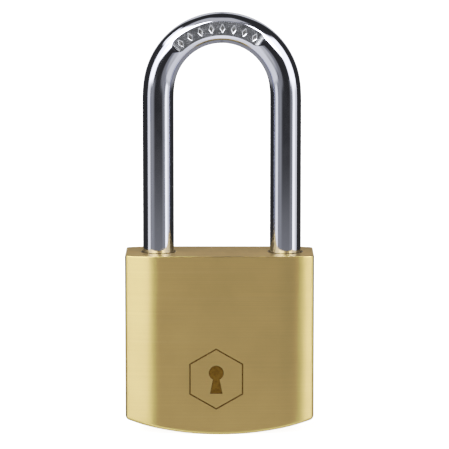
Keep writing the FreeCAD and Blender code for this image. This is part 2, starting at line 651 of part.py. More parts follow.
def make_bolt(label, heading):
    """Round nose towards +X and a half-round tail at +Y, turned about Z by heading degrees."""
    body = new_body(label, ("mech_x", "0", "bolt_z"), ((0, 0, 1), heading))
    nose = new_sketch(body, label + "_nose_sketch", "YZ_Plane", "-bolt_tail")
    add_circle(nose, "0", "0", "bolt_r")
    feature(body, "Pad", label + "_rod", nose, "bolt_tip + bolt_tail")
    tip = number("bolt_tip")
    chamfer(body, label + "_bevel", "bolt_bevel",
            lambda edge: all(abs(vertex.X - tip) < 1e-5 for vertex in edge.Vertexes))
    half = new_sketch(body, label + "_half_sketch")
    add_box(half, "-bolt_tail - 1", "bolt_step", "-bolt_r - 1", "bolt_split")
    feature(body, "Pocket", label + "_half", half, "2 * bolt_r + 1", symmetric=True)
    hook = new_sketch(body, label + "_hook_sketch", "XY_Plane", "bridge_rise")
    crank = "-bolt_travel / 2"
    add_box(hook, crank + " - crank_r - cam_clear", crank + " + crank_r + slam_room",
            "-1", "bolt_r + 1")
    feature(body, "Pocket", label + "_hook", hook, "bolt_r + bridge_rise + 1")
    pocket = new_sketch(body, label + "_pocket_sketch", "YZ_Plane", "bolt_step + bolt_pocket_deep")
    add_circle(pocket, "-bolt_spring_y", "0", "bolt_pocket_r")
    feature(body, "Pocket", label + "_pocket", pocket, "bolt_pocket_deep + 1")
    return body


# ---------------------------------------------------------------- springs, pins and plugs


def make_coil(label, place, turn, radius, wire, long, turns):
    """Round-wire compression spring along its own +Z, from 0 to long, ends included."""
    body = new_body(label, place, turn)
    sketch = new_sketch(body, label + "_wire", "XZ_Plane")
    add_circle(sketch, radius, wire, wire)
    coil = body.newObject("PartDesign::AdditiveHelix", label + "_coil")
    coil.Profile = sketch
    coil.ReferenceAxis = (origin_part(body, "Z_Axis"), [""])
    coil.Mode = "height-turns-angle"
    coil.setExpression("Height", bound("%s - 2 * %s" % (long, wire)))
    coil.Turns = turns
    body.Tip = coil
    doc.recompute()
    return body


def make_pin(label, place, turn, radius, long, ends, bevel="0.2"):
    """Cylinder along its own +Z with the named ends bevelled."""
    body = new_body(label, place, turn)
    sketch = new_sketch(body, label + "_section")
    add_circle(sketch, "0", "0", radius)
    feature(body, "Pad", label + "_rod", sketch, long)
    for end in ends:
        z = 0.0 if end == "low" else number(long)
        round_end(body, label + "_" + end, bevel, z, number(radius))
    return body


TO_X = ((0, 1, 0), 90)
TO_MINUS_X = ((0, 1, 0), -90)
TO_MINUS_Y = ((1, 0, 0), 90)


def make_stack(n):
    """Key pin, driver pin, spring and chamber plug of one pin stack."""
    z = "first_pin_z + pin_pitch * %d" % (n - 1)
    long = "key_pin_%d_long" % n
    key_pin = make_pin("key_pin_%d" % n, ("mech_x", "key_pin_top", z), TO_MINUS_Y,
                       "pin_r", long, ("low",))
    tip = number(long)
    round_end(key_pin, "key_pin_%d_point" % n, "0.7", tip, number("pin_r"))
    driver = make_pin("driver_pin_%d" % n, ("mech_x + driver_low", "0", z), TO_X,
                      "pin_r", "driver_long", ("low", "high"))
    spring_start = "mech_x + driver_low + driver_long + 0.05"
    stopper_start = "body_half - stopper_long"
    spring_long = "%s - (%s) - 0.05" % (stopper_start, spring_start)
    spring = make_coil("pin_spring_%d" % n, (spring_start, "0", z), TO_X,
                       "pin_spring_r", "pin_wire_r", spring_long, 9)
    stopper = make_pin("chamber_plug_%d" % n, (stopper_start, "0", z), TO_X,
                       "stopper_r", "stopper_long", ())
    return [key_pin, driver, spring, stopper]


def make_bolt_springs():
    """The two springs that push the bolts apart, side by side in the cross bore."""
    long = "bolt_step + bolt_pocket_deep - bolt_tail - 0.1"
    springs = []
    for n, sign, turn in ((1, "+", TO_X), (2, "-", TO_MINUS_X)):
        start = "mech_x %s (bolt_tail + 0.05)" % sign
        side = "-bolt_spring_y" if n == 1 else "bolt_spring_y"
        springs.append(make_coil("bolt_spring_%d" % n, (start, side, "bolt_z"), turn,
                                 "bolt_spring_r", "bolt_wire_r", long, 9))
    return springs


def make_shackle_spring():
    place = ("mech_x - leg_half", "0", "heel_floor + 0.05")
    return make_coil("shackle_spring", place, None, "spring_r", "wire_r",
                     "heel_tip - heel_floor - 0.1", 6.5)


def make_body_pins():
    """The pins and the plug pressed into the body from its two side faces."""
    bore_end = "mech_x + leg_half + leg_hole_r + 0.25"
    heel_pin = make_pin("shackle_retaining_pin", ("heel_pin_tip", "0", "heel_pin_z"), TO_MINUS_X,
                        "heel_pin_r", "body_half + heel_pin_tip", ("low",))
    plug_pin = make_pin("plug_retaining_pin", ("mech_x + plug_pin_tip", "0", "groove_z"), TO_X,
                        "plug_pin_r", "body_half - mech_x - plug_pin_tip", ("low",), "0.15")
    bore_plug = make_pin("bolt_bore_plug", (bore_end, "0", "bolt_z"), TO_X,
                         "bolt_bore_r - fit_gap", "body_half - (%s)" % bore_end, ())
    return [heel_pin, plug_pin, bore_plug]


parts = [make_lock_body(), make_shackle(), make_plug(), make_cam()]
parts += [make_bolt("toe_bolt", 0), make_bolt("heel_bolt", 180)]
parts += make_bolt_springs() + [make_shackle_spring()] + make_body_pins()
for n in range(1, int(number("pin_count")) + 1):
    parts += make_stack(n)

doc.recompute()
for thing in doc.Objects:
    if {"Invalid", "Error"} & set(thing.State):
        raise RuntimeError("%s is in state %s" % (thing.Label, thing.State))
for part in parts:
    if part.Shape.isNull() or not part.Shape.isValid() or len(part.Shape.Solids) != 1:
        raise RuntimeError(part.Label + " has no single valid solid")
for part in parts:
    part.Shape.exportStep("parts/%s.step" % part.Label)
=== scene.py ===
import json
import math

import bmesh
import bpy
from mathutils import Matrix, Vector


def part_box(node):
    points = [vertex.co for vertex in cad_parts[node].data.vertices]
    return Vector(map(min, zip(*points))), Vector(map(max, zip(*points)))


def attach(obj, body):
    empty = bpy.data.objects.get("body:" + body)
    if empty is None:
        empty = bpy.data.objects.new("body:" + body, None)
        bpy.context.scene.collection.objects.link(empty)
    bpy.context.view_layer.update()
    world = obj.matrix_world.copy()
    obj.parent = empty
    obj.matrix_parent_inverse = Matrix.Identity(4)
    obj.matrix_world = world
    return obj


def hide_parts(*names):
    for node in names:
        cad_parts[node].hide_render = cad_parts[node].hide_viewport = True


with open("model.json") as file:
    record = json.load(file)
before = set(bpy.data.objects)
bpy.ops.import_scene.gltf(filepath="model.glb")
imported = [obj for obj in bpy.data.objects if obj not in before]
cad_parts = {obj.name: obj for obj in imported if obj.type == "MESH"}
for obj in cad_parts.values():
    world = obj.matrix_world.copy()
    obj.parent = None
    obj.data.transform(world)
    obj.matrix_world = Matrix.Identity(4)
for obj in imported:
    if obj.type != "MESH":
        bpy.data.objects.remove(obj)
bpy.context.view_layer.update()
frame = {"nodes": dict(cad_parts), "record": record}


def middle(node):
    """Height of a node's middle."""
    low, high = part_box(node)
    return (low.z + high.z) / 2


# ---------------------------------------------------------------- sizes
# Outer sizes are read from the frame. The rest repeat the part's own dimensions.

MM = 0.001

body_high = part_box("body")[1]
shackle_low, shackle_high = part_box("shackle")

BODY_HALF = body_high.x
BODY_DEEP = body_high.y
BODY_TOP = body_high.z
UNDER_SAG = 3.2 * MM
FACE_FLAT = 12.5 * MM
FACE_ARC = 25.0 * MM
CORNER = 0.9 * MM
TOP_EDGE = 0.2 * MM
UNDER_EDGE = 0.7 * MM
# points along the flat, the curved side and the corner of half the body's section
FLAT_STEPS, ARC_STEPS, CORNER_STEPS = 7, 28, 14

ROD = shackle_high.y
MECH_X = (shackle_low.x + shackle_high.x) / 2
LEG_HALF = (shackle_high.x - shackle_low.x) / 2 - ROD
CROWN_Z = shackle_high.z - LEG_HALF - ROD
HEEL_TIP = shackle_low.z
TOE_TIP = 28.2 * MM
LEG_HOLE = 3.6 * MM
TOE_FLOOR = 27.2 * MM
HEEL_FLOOR = 4.5 * MM
LEG_CHAMFER = 0.8 * MM
EASE = 3.0 * MM
BOLT_Z = middle("toe_bolt")
NOTCH_HALF = 2.35 * MM
NOTCH_DEPTH = 1.7 * MM
HEEL_PIN_Z = middle("shackle_retaining_pin")
LIFT = 11.0 * MM
FLAT_DEPTH = 1.15 * MM
FLAT_TOP = 28.2 * MM
GROOVE_HALF = 1.3 * MM
FACET_DEPTH = 0.35 * MM
FACET_START, FACET_END = math.radians(48), math.radians(141)
FACET_FADE = math.radians(9)

MARK_COUNT = 8
MARK_FIRST = math.radians(130)
MARK_STEP = math.radians(71) / (MARK_COUNT - 1)
MARK_TALL, MARK_WIDE, MARK_DEPTH = 1.0 * MM, 0.55 * MM, 0.12 * MM

BADGE_X, BADGE_Z = -0.7 * MM, 12.1 * MM
BADGE_R, BADGE_LINE, BADGE_DEPTH = 6.6 * MM, 0.34 * MM, 0.15 * MM
KEYHOLE_HEAD, KEYHOLE_NECK = BADGE_R * 0.24, BADGE_R * 0.11
KEYHOLE_RISE, KEYHOLE_FOOT, KEYHOLE_FOOT_HALF = BADGE_R * 0.2, BADGE_R * 0.48, BADGE_R * 0.2

# bores in the body
HOLE_MOUTH, PLUG_MOUTH = 0.2 * MM, 0.25 * MM
PLUG_BORE, PLUG_BORE_TOP = 5.05 * MM, 27.2 * MM
CAM_BORE, CAM_START, CAM_DEEP = 4.5 * MM, 27.0 * MM, 3.0 * MM
CRANK_BORE, CRANK_START = 2.1 * MM, 29.5 * MM
BOLT_BORE, BOLT_REACH = 2.2 * MM, 11.2 * MM
PIN_COUNT = 5
PIN_BORE, PIN_START = 1.25 * MM, 4.5 * MM
STOPPER_BORE, STOPPER_DEEP = 1.5 * MM, 1.9 * MM
PLUG_PIN_BORE = 0.82 * MM
HEEL_PIN_BORE, HEEL_PIN_DEEP = 1.02 * MM, 6.5 * MM


# ---------------------------------------------------------------- node helpers


class Shader:
    """A node tree written as function calls."""

    def __init__(self, tree):
        self.tree = tree
        tree.nodes.clear()

    def add(self, kind, inputs=None, **settings):
        """A node with its settings; inputs are plain values or other nodes' sockets."""
        node = self.tree.nodes.new(kind)
        for name, value in settings.items():
            setattr(node, name, value)
        for name, value in (inputs or {}).items():
            self.put(node.inputs[name], value)
        return node

    def put(self, socket, value):
        """Link the socket to another one, or set it to a plain value."""
        if isinstance(value, bpy.types.NodeSocket):
            self.tree.links.new(value, socket)
        else:
            socket.default_value = value

    def calc(self, operation, a, b=0.0):
        """One step of arithmetic."""
        return self.add("ShaderNodeMath", {0: a, 1: b}, operation=operation).outputs[0]

    def ramp(self, value, low, high, out_low=0.0, out_high=1.0):
        """Smooth step from one range to another, held at both ends."""
        node = self.add("ShaderNodeMapRange", {"Value": value, "From Min": low, "From Max": high,
                                               "To Min": out_low, "To Max": out_high},
                        interpolation_type="SMOOTHSTEP")
        return node.outputs["Result"]

    def noise(self, vector, detail, rough):
        """Noise from 0 to 1, sized by the stretch of its coordinates."""
        node = self.add("ShaderNodeTexNoise", {"Vector": vector, "Scale": 1.0,
                                               "Detail": detail, "Roughness": rough})
        return node.outputs["Fac"]

    def mix(self, factor, a, b):
        """Colour between a and b."""
        node = self.add("ShaderNodeMix", data_type="RGBA")
        self.put(node.inputs[0], factor)
        self.put(node.inputs[6], a)
        self.put(node.inputs[7], b)
        return node.outputs[2]

    def place(self, scale):
        """Coordinates of the shared frame in metres, stretched."""
        where = self.add("ShaderNodeTexCoord").outputs["Object"]
        return self.add("ShaderNodeMapping", {"Vector": where, "Scale": scale}).outputs["Vector"]


def material(name):
    """A new material and the shader that fills its tree."""
    made = bpy.data.materials.new(name)
    made.use_nodes = True
    return made, Shader(made.node_tree)


def metal(shader, colour, rough, bumps, **sockets):
    """Principled metal with linked colour and roughness and a chain of bump layers."""
    inputs = {"Base Color": colour, "Metallic": 1.0, "Roughness": rough}
    normal = None
    for height, strength, distance in bumps:
        layer = {"Height": height, "Strength": strength, "Distance": distance}
        if normal:
            layer["Normal"] = normal
        normal = shader.add("ShaderNodeBump", layer).outputs["Normal"]
    if normal:
        inputs["Normal"] = normal
    inputs.update({name.replace("_", " "): value for name, value in sockets.items()})
    surface = shader.add("ShaderNodeBsdfPrincipled", inputs)
    shader.add("ShaderNodeOutputMaterial", {"Surface": surface.outputs["BSDF"]})


# ---------------------------------------------------------------- materials


def brushed_brass():
    """Satin brass with fine lines running across the lock and a faint uneven tarnish."""
    made, s = material("brushed_brass")
    lines = s.noise(s.place((35, 35, 5200)), 4.0, 0.65)
    broad = s.noise(s.place((12, 12, 900)), 3.0, 0.55)
    cloud = s.noise(s.place((90, 90, 90)), 4.0, 0.55)
    tone = s.mix(s.ramp(cloud, 0.3, 0.7), (0.64, 0.466, 0.182, 1), (0.68, 0.498, 0.198, 1))
    tone = s.mix(s.ramp(lines, 0.25, 0.75, 0.0, 0.35), tone, (0.55, 0.40, 0.155, 1))
    tone = s.mix(s.ramp(broad, 0.5, 0.8, 0.0, 0.15), tone, (0.76, 0.59, 0.28, 1))
    wear = s.calc("ADD", s.calc("MULTIPLY", lines, 0.6), s.calc("MULTIPLY", cloud, 0.4))
    metal(s, tone, s.ramp(wear, 0.2, 0.8, 0.28, 0.34), [(lines, 0.10, 0.00003), (broad, 0.08, 0.00005)],
          Anisotropic=1.0, Anisotropic_Rotation=0.25)
    return made


def milled_brass_painted_shade():
    """Plain milled brass of the top and underside, with an even satin grain; its colour is set darker than
    the sides' brass as painted shade.
    """
    made, s = material("milled_brass_painted_shade")
    grain = s.noise(s.place((900, 5200, 900)), 3.0, 0.6)
    cloud = s.noise(s.place((160, 160, 160)), 3.0, 0.5)
    # painted shade: the top and underside take a darker copy of the body's brass colour
    tone = s.mix(s.ramp(cloud, 0.3, 0.7), (0.52, 0.38, 0.15, 1), (0.58, 0.43, 0.18, 1))
    metal(s, tone, s.ramp(grain, 0.2, 0.8, 0.36, 0.46), [(grain, 0.12, 0.00002)],
          Specular_Tint=(0.58, 0.54, 0.52, 1))
    return made


def bored_brass_painted_shade():
    """Drilled brass inside the holes, ringed by the drill, its colour set much darker as painted shade
    inside the holes.
    """
    made, s = material("bored_brass_painted_shade")
    rings = s.noise(s.place((60, 60, 4200)), 3.0, 0.6)
    oil_and_shade = s.noise(s.place((260, 260, 260)), 3.0, 0.5)
    # painted shade: both tones inside the bores are far darker than the body's brass, with random blotches
    # between them
    tone = s.mix(s.ramp(oil_and_shade, 0.35, 0.7), (0.20, 0.135, 0.055, 1), (0.36, 0.25, 0.10, 1))
    metal(s, tone, s.ramp(rings, 0.2, 0.8, 0.3, 0.5), [(rings, 0.3, 0.00003)])
    return made


def engraved_brass():
    """Floor of the engraved mark, burnt brown."""
    made, s = material("engraved_brass")
    grain = s.noise(s.place((2600, 2600, 2600)), 3.0, 0.6)
    tone = s.mix(s.ramp(grain, 0.3, 0.7), (0.085, 0.042, 0.006, 1), (0.145, 0.080, 0.012, 1))
    metal(s, tone, s.ramp(grain, 0.2, 0.8, 0.5, 0.75), [(grain, 0.4, 0.00002)])
    return made


def chrome():
    """Polished plating with hairline scratches and a slight haze."""
    made, s = material("chrome_plating")
    haze = s.noise(s.place((140, 140, 60)), 4.0, 0.55)
    draw = s.noise(s.place((2600, 2600, 28)), 3.0, 0.6)
    tone = s.mix(s.ramp(haze, 0.3, 0.75), (0.655, 0.68, 0.81, 1), (0.71, 0.735, 0.86, 1))
    tone = s.mix(s.ramp(draw, 0.62, 0.8, 0.0, 0.35), tone, (0.50, 0.52, 0.59, 1))
    metal(s, tone, s.ramp(haze, 0.3, 0.8, 0.05, 0.11), [(draw, 0.05, 0.00002)])
    return made


def pressed_chrome_painted_shade():
    """The pressed flat on the crown, rougher than the polished rod, its colour set darker as painted shade
    for the flat's dim reflection.
    """
    made, s = material("pressed_chrome_painted_shade")
    haze = s.noise(s.place((900, 900, 900)), 4.0, 0.6)
    # painted shade: the flat takes a darker copy of the chrome colour
    tone = s.mix(s.ramp(haze, 0.3, 0.7), (0.52, 0.54, 0.59, 1), (0.62, 0.64, 0.70, 1))
    metal(s, tone, s.ramp(haze, 0.3, 0.75, 0.22, 0.30), [(haze, 0.08, 0.00004)])
    return made


def stamped_chrome():
    """Floor of the stamped marks."""
    made, s = material("stamped_chrome")
    grain = s.noise(s.place((1800, 1800, 1800)), 3.0, 0.6)
    tone = s.mix(s.ramp(grain, 0.3, 0.7), (0.10, 0.10, 0.105, 1), (0.22, 0.22, 0.225, 1))
    metal(s, tone, s.ramp(grain, 0.2, 0.8, 0.35, 0.55), [(grain, 0.3, 0.00002)])
    return made


def turned(name, dark, light, rough_low, rough_high, axis="Z"):
    """Machined metal with turning marks across the named axis."""
    made, s = material(name)
    stretch = {"X": (5200, 40, 40), "Y": (40, 5200, 40), "Z": (40, 40, 5200)}[axis]
    lines = s.noise(s.place(stretch), 3.0, 0.6)
    cloud = s.noise(s.place((420, 420, 420)), 3.0, 0.5)
    tone = s.mix(s.ramp(cloud, 0.3, 0.7), (*dark, 1), (*light, 1))
    tone = s.mix(s.ramp(lines, 0.45, 0.8, 0.0, 0.4), tone, (*dark, 1))
    metal(s, tone, s.ramp(lines, 0.2, 0.8, rough_low, rough_high), [(lines, 0.25, 0.00002)])
    return made


def turned_face(name, dark, light):
    """Brass plug face with circular turning marks about the plug's axis."""
    made, s = material(name)
    where = s.add("ShaderNodeTexCoord").outputs["Object"]
    centred = s.add("ShaderNodeVectorMath", {0: where, 1: (-MECH_X, 0, 0)}, operation="ADD").outputs[0]
    split = s.add("ShaderNodeSeparateXYZ", {0: centred})
    flat = s.add("ShaderNodeCombineXYZ", {"X": split.outputs["X"], "Y": split.outputs["Y"]}).outputs[0]
    radius = s.add("ShaderNodeVectorMath", {0: flat}, operation="LENGTH").outputs["Value"]
    rise = s.calc("MULTIPLY", split.outputs["Z"], 0.4)
    ring = s.add("ShaderNodeCombineXYZ", {"X": radius, "Y": rise}).outputs[0]
    fine = s.add("ShaderNodeMapping", {"Vector": ring, "Scale": (5200, 5200, 1)}).outputs[0]
    lines = s.noise(fine, 3.0, 0.6)
    cloud = s.noise(s.place((420, 420, 420)), 3.0, 0.5)
    tone = s.mix(s.ramp(cloud, 0.3, 0.7), (*dark, 1), (*light, 1))
    tone = s.mix(s.ramp(lines, 0.45, 0.8, 0.0, 0.45), tone, (*dark, 1))
    metal(s, tone, s.ramp(lines, 0.2, 0.8, 0.22, 0.38), [(lines, 0.3, 0.00002)])
    return made


# ---------------------------------------------------------------- mesh helpers


def new_object(name, mesh_data, *materials):
    """Object made from a bmesh, which is freed."""
    mesh = bpy.data.meshes.new(name)
    mesh_data.to_mesh(mesh)
    mesh_data.free()
    made = bpy.data.objects.new(name, mesh)
    bpy.context.scene.collection.objects.link(made)
    for entry in materials:
        mesh.materials.append(entry)
    return made


def lathe(rings, axis, centre, steps=96):
    """Closed solid of revolution: rings are (distance along axis, radius) pairs from a to b."""
    shape = bmesh.new()
    side = axis.orthogonal().normalized()
    up = axis.cross(side)
    loops = []
    for along, radius in rings:
        loop = []
        for n in range(steps):
            angle = 2 * math.pi * n / steps
            offset = side * math.cos(angle) * radius + up * math.sin(angle) * radius
            loop.append(shape.verts.new(centre + axis * along + offset))
        loops.append(loop)
    for this, following in zip(loops, loops[1:]):
        for n in range(steps):
            m = (n + 1) % steps
            shape.faces.new((this[n], this[m], following[m], following[n]))
    shape.faces.new(loops[0][::-1])
    shape.faces.new(loops[-1])
    bmesh.ops.recalc_face_normals(shape, faces=shape.faces)
    return shape


def prism(outline, front, back):
    """Closed solid between two planes of constant y from an (x, z) outline."""
    shape = bmesh.new()
    near = [shape.verts.new((x, front, z)) for x, z in outline]
    far = [shape.verts.new((x, back, z)) for x, z in outline]
    shape.faces.new(near)
    shape.faces.new(far[::-1])
    count = len(outline)
    for n in range(count):
        m = (n + 1) % count
        shape.faces.new((near[n], far[n], far[m], near[m]))
    bmesh.ops.recalc_face_normals(shape, faces=shape.faces)
    return shape


def carve(target, cutter):
    """Subtract the cutter and drop it; cut faces take the cutter's material."""
    tool = target.modifiers.new("carve", "BOOLEAN")
    tool.object = cutter
    tool.operation = "DIFFERENCE"
    tool.solver = "EXACT"
    tool.material_mode = "TRANSFER"
    graph = bpy.context.evaluated_depsgraph_get()
    result = bpy.data.meshes.new_from_object(target.evaluated_get(graph))
    target.modifiers.clear()
    target.data = result
    bpy.data.objects.remove(cutter)


def smooth(piece, degrees=32):
    """Smooth shading with sharp edges kept, normals weighted by face area."""
    mesh = piece.data
    mesh.shade_smooth()
    mesh.set_sharp_from_angle(angle=math.radians(degrees))
    weight = piece.modifiers.new("even_normals", "WEIGHTED_NORMAL")
    weight.keep_sharp = True


# ---------------------------------------------------------------- lock body


def half_outline():
    """Front half of the body's section from the left side face to the right, as (x, y, inward) triples."""
    arc_centre = Vector((FACE_FLAT, -BODY_DEEP + FACE_ARC))
    corner_x = BODY_HALF - CORNER
    reach = FACE_ARC - CORNER
    corner_y = arc_centre.y - math.sqrt(reach ** 2 - (corner_x - FACE_FLAT) ** 2)
    turn = math.asin((corner_x - FACE_FLAT) / reach)
    right = []
    for n in range(FLAT_STEPS):
        right.append((FACE_FLAT * n / FLAT_STEPS, -BODY_DEEP, Vector((0, 1))))
    for n in range(ARC_STEPS):
        angle = turn * n / ARC_STEPS
        out = Vector((math.sin(angle), -math.cos(angle)))
        spot = arc_centre + out * FACE_ARC
        right.append((spot.x, spot.y, -out))
    for n in range(CORNER_STEPS + 1):
        angle = turn + (math.pi / 2 - turn) * n / CORNER_STEPS
        out = Vector((math.sin(angle), -math.cos(angle)))
        spot = Vector((corner_x, corner_y)) + out * CORNER
        right.append((spot.x, spot.y, -out))
    left = [(-x, y, Vector((-inward.x, inward.y))) for x, y, inward in right[:0:-1]]
    return left + right


def underside(x):
    """Height of the curved underside at this distance from the middle."""
    radius = (BODY_HALF ** 2 + UNDER_SAG ** 2) / (2 * UNDER_SAG)
    return radius - math.sqrt(radius ** 2 - x ** 2)


def edge_steps(radius, count=5):
    """Inset and rise of a quarter-round edge, from the cap outward to the wall."""
    for n in range(count + 1):
        angle = math.pi / 2 * n / count
        yield radius * (1 - math.sin(angle)), radius * (1 - math.cos(angle))


def body_block(skin, cap):
    """The solid block with rounded edges all round, before anything is drilled."""
    shape = bmesh.new()
    front = half_outline()
    back = [(x, -y, Vector((inward.x, -inward.y))) for x, y, inward in front]
    loop = front + back[::-1]

    def moved_in(inset):
        return [(x + inward.x * inset, y + inward.y * inset) for x, y, inward in loop]

    levels = [[(x, y, underside(x) + rise) for x, y in moved_in(inset)]
              for inset, rise in edge_steps(UNDER_EDGE)]
    levels += [[(x, y, BODY_TOP - rise) for x, y in moved_in(inset)]
               for inset, rise in list(edge_steps(TOP_EDGE))[::-1]]
    rings = [[shape.verts.new(spot) for spot in level] for level in levels]
    count = len(loop)
    for this, following in zip(rings, rings[1:]):
        for n in range(count):
            m = (n + 1) % count
            shape.faces.new((this[n], this[m], following[m], following[n]))
    half = len(front)
    for ring in (rings[0], rings[-1]):
        for n in range(half - 1):
            face = shape.faces.new((ring[n], ring[n + 1], ring[count - 2 - n], ring[count - 1 - n]))
            face.material_index = 1
    bmesh.ops.recalc_face_normals(shape, faces=shape.faces)
    return new_object("lock_body", shape, skin, cap)


def hexagon(radius):
    """Corners of the badge's hexagon, one corner up."""
    turns = [math.radians(60 * n) for n in range(6)]
    return [(BADGE_X + radius * math.sin(turn), BADGE_Z + radius * math.cos(turn)) for turn in turns]


def keyhole():
    """Outline of a keyhole: a round head with a flared skirt."""
    head_z = BADGE_Z + KEYHOLE_RISE
    start = math.asin(KEYHOLE_NECK / KEYHOLE_HEAD)
    steps = 32
    points = []
    for n in range(steps + 1):
        angle = -math.pi / 2 + start + (2 * math.pi - 2 * start) * n / steps
        points.append((BADGE_X + KEYHOLE_HEAD * math.cos(angle), head_z + KEYHOLE_HEAD * math.sin(angle)))
    points.append((BADGE_X - KEYHOLE_FOOT_HALF, BADGE_Z - KEYHOLE_FOOT))
    points.append((BADGE_X + KEYHOLE_FOOT_HALF, BADGE_Z - KEYHOLE_FOOT))
    return points


def hex_frame(front, back):
    """Six-sided picture-frame solid for the badge's outline."""
    shape = bmesh.new()
    corners = [hexagon(BADGE_R), hexagon(BADGE_R - BADGE_LINE)]
    near = [[shape.verts.new((x, front, z)) for x, z in ring] for ring in corners]
    far = [[shape.verts.new((x, back, z)) for x, z in ring] for ring in corners]
    for n in range(6):
        m = (n + 1) % 6
        shape.faces.new((near[0][n], near[0][m], near[1][m], near[1][n]))
        shape.faces.new((far[0][n], far[1][n], far[1][m], far[0][m]))
        shape.faces.new((near[0][n], far[0][n], far[0][m], near[0][m]))
        shape.faces.new((near[1][n], near[1][m], far[1][m], far[1][n]))
    bmesh.ops.recalc_face_normals(shape, faces=shape.faces)
    return shape


def drill(target, bore, start, axis, length, radius, mouth=0.0):
    """Round hole along axis, begun a little before start, with a bevel at start if it has a mouth."""
    clear = 1.0 * MM
    rings = [(-clear, radius + mouth), (0, radius + mouth), (mouth, radius), (length, radius)]
    if not mouth:
        rings = [(-clear, radius), (length, radius)]
    carve(target, new_object("drill", lathe(rings, Vector(axis), Vector(start)), bore))


def drill_block(block, bore):
    """Shackle holes, plug and cam bores, then the bores drilled from the two edges."""
    up, down = (0, 0, 1), (0, 0, -1)
    inward = (-1, 0, 0)
    right = BODY_HALF
    for side, floor in ((1, TOE_FLOOR), (-1, HEEL_FLOOR)):
        start = (MECH_X + side * LEG_HALF, 0, BODY_TOP)
        drill(block, bore, start, down, BODY_TOP - floor, LEG_HOLE, HOLE_MOUTH)
    drill(block, bore, (MECH_X, 0, 0), up, PLUG_BORE_TOP, PLUG_BORE, PLUG_MOUTH)
    drill(block, bore, (MECH_X, 0, CAM_START), up, CAM_DEEP, CAM_BORE)
    drill(block, bore, (MECH_X, 0, CRANK_START), up, BOLT_Z - CRANK_START, CRANK_BORE)
    drill(block, bore, (right, 0, BOLT_Z), inward, right - MECH_X + BOLT_REACH, BOLT_BORE)
    for n in range(1, PIN_COUNT + 1):
        z = middle("chamber_plug_%d" % n)
        drill(block, bore, (right, 0, z), inward, right - MECH_X - PIN_START, PIN_BORE)
        drill(block, bore, (right, 0, z), inward, STOPPER_DEEP, STOPPER_BORE)
    plug_pin = (right, 0, middle("plug_retaining_pin"))
    drill(block, bore, plug_pin, inward, right - MECH_X - PIN_START, PLUG_PIN_BORE)
    drill(block, bore, (-right, 0, HEEL_PIN_Z), (1, 0, 0), HEEL_PIN_DEEP, HEEL_PIN_BORE)


def make_body(skin, cap, bore, burnt):
    """The lock body, drilled and engraved."""
    block = body_block(skin, cap)
    drill_block(block, bore)
    front, floor = -BODY_DEEP - MM, -BODY_DEEP + BADGE_DEPTH
    for outline in (hex_frame(front, floor), prism(keyhole(), front, floor)):
        carve(block, new_object("graver", outline, burnt))
    smooth(block)
    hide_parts("body")
    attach(block, "lock_body")


# ---------------------------------------------------------------- shackle


def bend_turn(along):
    """Angle turned after this length of the bend, easing in and out of the straight legs."""
    long = math.pi * LEG_HALF
    if along < EASE:
        return (along + EASE) ** 2 / (4 * EASE * LEG_HALF)
    if along > long - EASE:
        return math.pi - (long + EASE - along) ** 2 / (4 * EASE * LEG_HALF)
    return along / LEG_HALF


def crown_stations():
    """The bend from the heel side to the toe side as (angle from +X, centre, outward).

    Short steps are added up along the eased bend, and a station is kept every few steps, more
    often where the flat is. A slight stretch then makes the bend meet both legs and the top.
    """
    step = 0.02 * MM
    fine, coarse, margin = 5, 18, 0.08
    count = round((math.pi * LEG_HALF + 2 * EASE) / step)
    rows = []
    x = z = 0.0
    stop = 0
    for n in range(count + 1):
        along = n * step - EASE
        angle = math.pi - bend_turn(along)
        if n >= stop or n == count:
            rows.append((angle, x, z))
            near_flat = FACET_START - margin < angle <= FACET_END + margin
            stop = n + (fine if near_flat else coarse)
        halfway = math.pi - bend_turn(along + step / 2)
        x += math.sin(halfway) * step
        z -= math.cos(halfway) * step
    wide = 2 * LEG_HALF / rows[-1][1]
    tall = (LEG_HALF + EASE) / max(row[2] for row in rows)
    for angle, x, z in rows:
        centre = Vector((MECH_X - LEG_HALF + x * wide, 0, CROWN_Z - EASE + z * tall))
        yield angle, centre, Vector((math.cos(angle), 0, math.sin(angle)))


def leg_heights(low, high, edges):
    """Heights up a leg: evenly spaced, with a close pair at every machined edge."""
    apart, spacing = 0.02 * MM, 2.0 * MM
    heights = {low, high}
    for edge in edges:
        heights.update(z for z in (edge - apart, edge + apart) if low < z < high)
    count = int((high - low) / spacing)
    heights.update(low + (high - low) * n / count for n in range(1, count))
    return sorted(heights)


def rod_stations():
    """Cross-sections along the rod as (part, height or angle, centre, outward)."""
    notch = [BOLT_Z - NOTCH_HALF, BOLT_Z + NOTCH_HALF]
    heel = notch + [FLAT_TOP, BOLT_Z - LIFT - NOTCH_HALF, BOLT_Z - LIFT + NOTCH_HALF,
                    HEEL_PIN_Z - LIFT - GROOVE_HALF, HEEL_PIN_Z - LIFT + GROOVE_HALF,
                    HEEL_TIP + LEG_CHAMFER]
    top = CROWN_Z - EASE - 0.1 * MM
    for z in leg_heights(HEEL_TIP, top, heel):
        yield "heel", z, Vector((MECH_X - LEG_HALF, 0, z)), Vector((-1, 0, 0))
    for angle, centre, out in crown_stations():
        yield "crown", angle, centre, out
    for z in leg_heights(TOE_TIP, top, notch + [TOE_TIP + LEG_CHAMFER])[::-1]:
        yield "toe", z, Vector((MECH_X + LEG_HALF, 0, z)), Vector((1, 0, 0))


def planed(radius, depth, angle, towards):
    """Radius of a round bar with a flat planed off in one direction."""
    facing = math.cos(angle - towards)
    limit = ROD - depth
    if facing * radius <= limit:
        return radius
    return limit / facing


def flat_share(angle_on_crown):
    """How far the crown's flat has reached its full depth, from 0 to 1."""
    share = min((angle_on_crown - FACET_START) / FACET_FADE, (FACET_END - angle_on_crown) / FACET_FADE)
    share = min(max(share, 0), 1)
    return share * share * (3 - 2 * share)


